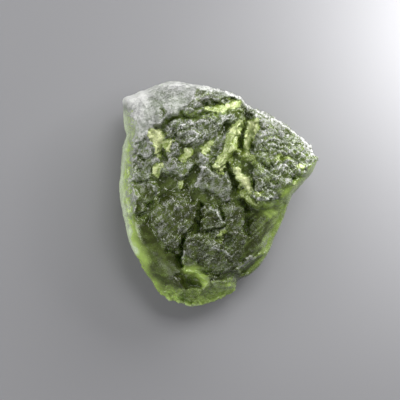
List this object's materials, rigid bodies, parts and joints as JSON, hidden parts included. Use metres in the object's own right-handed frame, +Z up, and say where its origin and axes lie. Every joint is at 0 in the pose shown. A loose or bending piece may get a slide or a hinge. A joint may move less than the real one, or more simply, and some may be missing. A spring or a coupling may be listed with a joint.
{
  "type": "moldavite",
  "caption": "Raw natural green glass stone with an etched, plated front face, smooth thin edges and a pointed fin, lying on its rounded back.",
  "frame": {"origin": "under the middle of the stone's box, in the plane of the flat spot that it rests on", "axes": "+Z up out of the etched face, +Y along the length towards the broad end, +X towards the pointed fin"},
  "size_m": [0.0218, 0.025, 0.0096],
  "materials": {
    "moldavite_glass": "natural bottle-green glass, finely etched and matt on the plates, smoother and see-through at the thin edges"
  },
  "bodies": {
    "root": {"moldavite": "moldavite_glass"}
  },
  "joints": []
}
